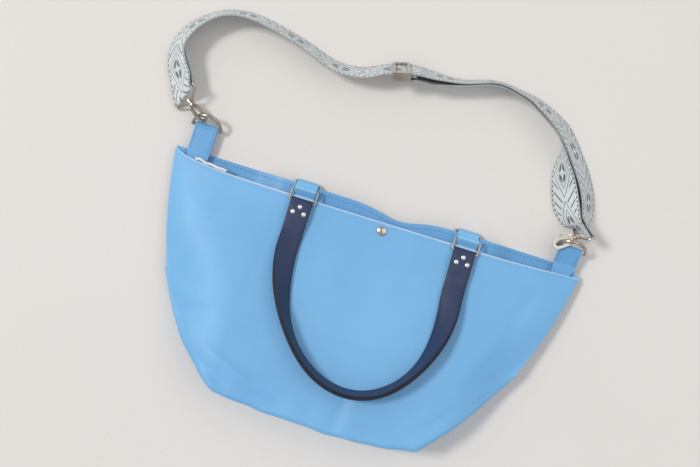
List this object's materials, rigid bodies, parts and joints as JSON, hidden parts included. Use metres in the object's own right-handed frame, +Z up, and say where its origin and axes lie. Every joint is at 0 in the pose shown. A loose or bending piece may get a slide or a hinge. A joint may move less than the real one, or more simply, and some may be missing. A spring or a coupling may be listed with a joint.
{
  "type": "trapeze bag",
  "caption": "Trapeze tote of sky-blue leather lying on its back, with ring-mounted handles and a patterned webbing shoulder strap on swivel hooks.",
  "frame": {"origin": "middle of the back panel's flat resting strip beside the base edge, on the surface that the bag lies on", "axes": "+X along the mouth, +Y from the base towards the mouth and strap, +Z up from the surface"},
  "size_m": [0.5305, 0.442, 0.0768],
  "materials": {
    "panel_leather": "satin",
    "facing_leather": "satin",
    "handle_leather": "satin",
    "lining_cloth": "matte",
    "white_cloth": "matte",
    "nickel": "polished",
    "webbing": "matte"
  },
  "bodies": {
    "bag": {"front_panel": "panel_leather", "back_panel": "panel_leather", "front_facing": "facing_leather", "back_facing": "facing_leather", "front_lining": "lining_cloth", "back_lining": "lining_cloth", "inner_pocket": "white_cloth", "left_side_tab": "facing_leather", "right_side_tab": "facing_leather", "front_left_handle_tab": "facing_leather", "front_right_handle_tab": "facing_leather", "back_left_handle_tab": "facing_leather", "back_right_handle_tab": "facing_leather", "snap_front_cap": "nickel", "snap_front_half": "nickel", "snap_back_half": "nickel", "snap_back_cap": "nickel"},
    "front_left_ring_body": {"front_left_ring": "nickel"},
    "front_right_ring_body": {"front_right_ring": "nickel"},
    "front_handle_body": {"front_handle_outer": "handle_leather", "front_handle_backing": "handle_leather", "front_handle_rivets": "nickel"},
    "back_left_ring_body": {"back_left_ring": "nickel"},
    "back_right_ring_body": {"back_right_ring": "nickel"},
    "back_handle_body": {"back_handle_outer": "handle_leather", "back_handle_backing": "handle_leather", "back_handle_rivets": "nickel"},
    "strap_body": {"left_d_ring": "nickel", "right_d_ring": "nickel", "strap_webbing": "webbing", "left_hook_eye": "nickel", "right_hook_eye": "nickel"},
    "slider_body": {"strap_slider": "nickel", "strap_return": "webbing"},
    "left_claw_body": {"left_hook_claw": "nickel", "left_hook_gate_pin": "nickel", "left_hook_spring": "nickel"},
    "left_gate_body": {"left_hook_gate": "nickel"},
    "right_claw_body": {"right_hook_claw": "nickel", "right_hook_gate_pin": "nickel", "right_hook_spring": "nickel"},
    "right_gate_body": {"right_hook_gate": "nickel"}
  },
  "joints": [
    {"name": "front_left_ring_swing", "type": "hinge", "parent": "bag", "child": "front_left_ring_body", "pos_m": [-0.086, 0.2415, 0.025], "axis": [-1, 0, 0], "range_deg": [0, 70]},
    {"name": "front_right_ring_swing", "type": "hinge", "parent": "bag", "child": "front_right_ring_body", "pos_m": [0.108, 0.2415, 0.025], "axis": [-1, 0, 0], "range_deg": [0, 70]},
    {"name": "front_handle_swing", "type": "hinge", "parent": "front_left_ring_body", "child": "front_handle_body", "pos_m": [-0.086, 0.2271, 0.0267], "axis": [-1, 0, 0], "range_deg": [0, 80]},
    {"name": "back_left_ring_swing", "type": "hinge", "parent": "bag", "child": "back_left_ring_body", "pos_m": [-0.086, 0.2495, 0.005], "axis": [1, 0, 0], "range_deg": [0, 70]},
    {"name": "back_right_ring_swing", "type": "hinge", "parent": "bag", "child": "back_right_ring_body", "pos_m": [0.108, 0.2495, 0.005], "axis": [1, 0, 0], "range_deg": [0, 70]},
    {"name": "back_handle_swing", "type": "hinge", "parent": "back_left_ring_body", "child": "back_handle_body", "pos_m": [-0.086, 0.235, 0.0052], "axis": [1, 0, 0], "range_deg": [0, 80]},
    {"name": "strap_swing", "type": "hinge", "parent": "bag", "child": "strap_body", "pos_m": [-0.217, 0.277, 0.01], "axis": [0.9995, -0.0249, 0.0181], "range_deg": [0, 55]},
    {"name": "slider_slide", "type": "slide", "parent": "strap_body", "child": "slider_body", "axis": [0.9659, 0.2588, 0], "range_m": [-0.003, 0.003], "deforming": ["strap_return"]},
    {"name": "left_hook_swivel", "type": "hinge", "parent": "strap_body", "child": "left_claw_body", "pos_m": [-0.2417, 0.2977, 0.0173], "axis": [0.8176, -0.5662, 0.1045], "range_deg": [-8, 8]},
    {"name": "left_gate_open", "type": "hinge", "parent": "left_claw_body", "child": "left_gate_body", "pos_m": [-0.23796, 0.29152, 0.02154], "axis": [0.3809, 0.668, 0.6393], "range_deg": [0, 6], "stiffness_Nm_per_rad": 0.01, "springref_deg": -20.05},
    {"name": "right_hook_swivel", "type": "hinge", "parent": "strap_body", "child": "right_claw_body", "pos_m": [0.2237, 0.2811, 0.0238], "axis": [-0.7943, -0.5985, 0.1045], "range_deg": [-8, 8]},
    {"name": "right_gate_open", "type": "hinge", "parent": "right_claw_body", "child": "right_gate_body", "pos_m": [0.21537, 0.28058, 0.02453], "axis": [0.0835, 0.0629, 0.9945], "range_deg": [0, 6], "stiffness_Nm_per_rad": 0.01, "springref_deg": -20.05}
  ],
  "couplings": [
    {"joint": "front_right_ring_swing", "follows": "front_left_ring_swing", "ratio": 1},
    {"joint": "back_right_ring_swing", "follows": "back_left_ring_swing", "ratio": 1}
  ]
}
